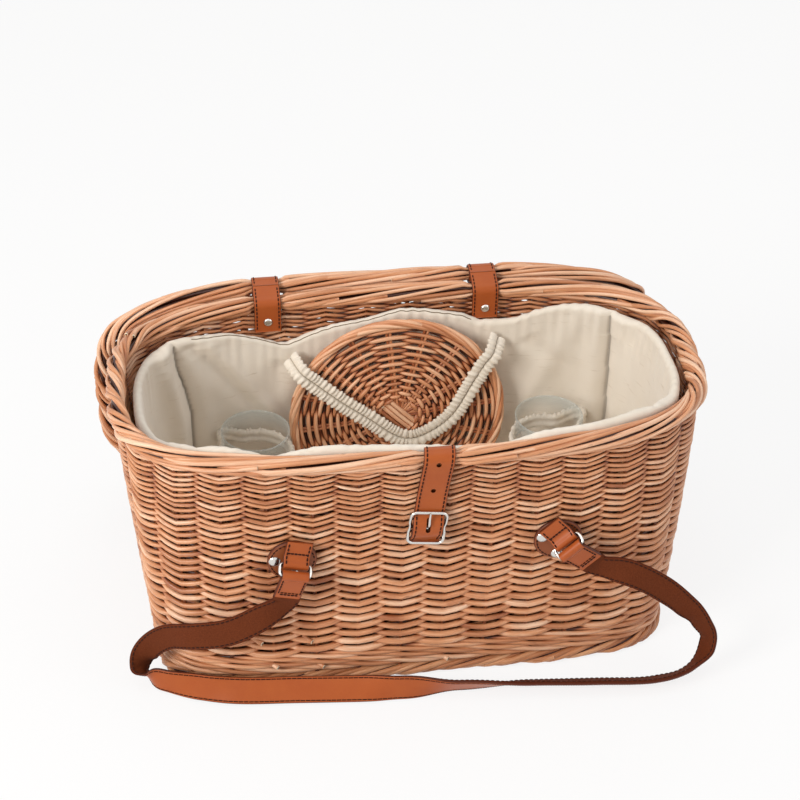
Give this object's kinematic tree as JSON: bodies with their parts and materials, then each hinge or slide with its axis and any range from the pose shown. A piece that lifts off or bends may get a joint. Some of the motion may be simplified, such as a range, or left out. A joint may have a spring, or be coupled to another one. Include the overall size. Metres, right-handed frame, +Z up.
{
  "type": "fitted picnic basket",
  "caption": "Long willow picnic basket with a hinged lid, padded lining, glasses in elastic loops, a round wicker tray, a buckled closure strap and a leather shoulder strap.",
  "frame": {"origin": "on the surface that the basket stands on, under the middle of the box round the basket and its open lid, without the loose shoulder strap", "axes": "+X to the right along the basket's length, seen from the buckle's side; +Y to the back, where the lid is hinged; +Z up"},
  "size_m": [0.5304, 0.3561, 0.2556],
  "materials": {
    "willow": "peeled and steamed willow rods, light sheen",
    "dark_willow": "darker willow rods, light sheen",
    "leather": "tan cowhide, smooth outside and suede inside",
    "nickel": "polished nickel plate",
    "cotton": "cream cotton over wadding and ruched elastic",
    "glass": "clear"
  },
  "bodies": {
    "basket": {"rim_border": "willow", "wall_weave": "willow", "foot_border": "dark_willow", "base_weave": "dark_willow", "hinge_strap_left": "leather", "hinge_strap_right": "leather", "closure_strap": "leather", "buckle_backing": "leather", "anchor_patch_left": "leather", "anchor_patch_right": "leather", "anchor_tab_left": "leather", "anchor_tab_right": "leather", "strap_end_left": "leather", "strap_end_right": "leather", "shoulder_strap": "leather", "hinge_rivet_left": "nickel", "hinge_rivet_right": "nickel", "anchor_rivet_left_1": "nickel", "anchor_rivet_left_2": "nickel", "anchor_rivet_right_1": "nickel", "anchor_rivet_right_2": "nickel", "buckle_frame": "nickel", "anchor_ring_left": "nickel", "anchor_ring_right": "nickel", "lining": "cotton", "lining_floor": "cotton", "glass_loop_left": "cotton", "glass_loop_right": "cotton", "tray_band": "cotton"},
    "hinge_loops": {"hinge_loop_left": "leather", "hinge_loop_right": "leather"},
    "lid": {"lid_border": "willow", "lid_panel": "dark_willow"},
    "prong": {"buckle_prong": "nickel"},
    "glass_left": {"glass_left": "glass"},
    "glass_right": {"glass_right": "glass"},
    "tray": {"round_tray": "willow"}
  },
  "joints": [
    {"name": "hinge_fold", "type": "hinge", "parent": "basket", "child": "hinge_loops", "pos_m": [0, 0.10803, 0.2535], "axis": [-1, 0, 0], "range_deg": [-180, 0]},
    {"name": "lid_turn", "type": "hinge", "parent": "hinge_loops", "child": "lid", "pos_m": [0, 0.11778, 0.246], "axis": [-1, 0, 0], "range_deg": [-80.77, 0]},
    {"name": "prong_turn", "type": "hinge", "parent": "basket", "child": "prong", "pos_m": [-0.0015, -0.15065, 0.176], "axis": [1, 0, 0], "range_deg": [0, 45]},
    {"name": "glass_left_lift", "type": "slide", "parent": "basket", "child": "glass_left", "axis": [0, 0, 1], "range_m": [0, 0.22]},
    {"name": "glass_right_lift", "type": "slide", "parent": "basket", "child": "glass_right", "axis": [0, 0, 1], "range_m": [0, 0.22]},
    {"name": "tray_lift", "type": "slide", "parent": "basket", "child": "tray", "axis": [0, 0.0872, 0.9962], "range_m": [0, 0.006]}
  ]
}
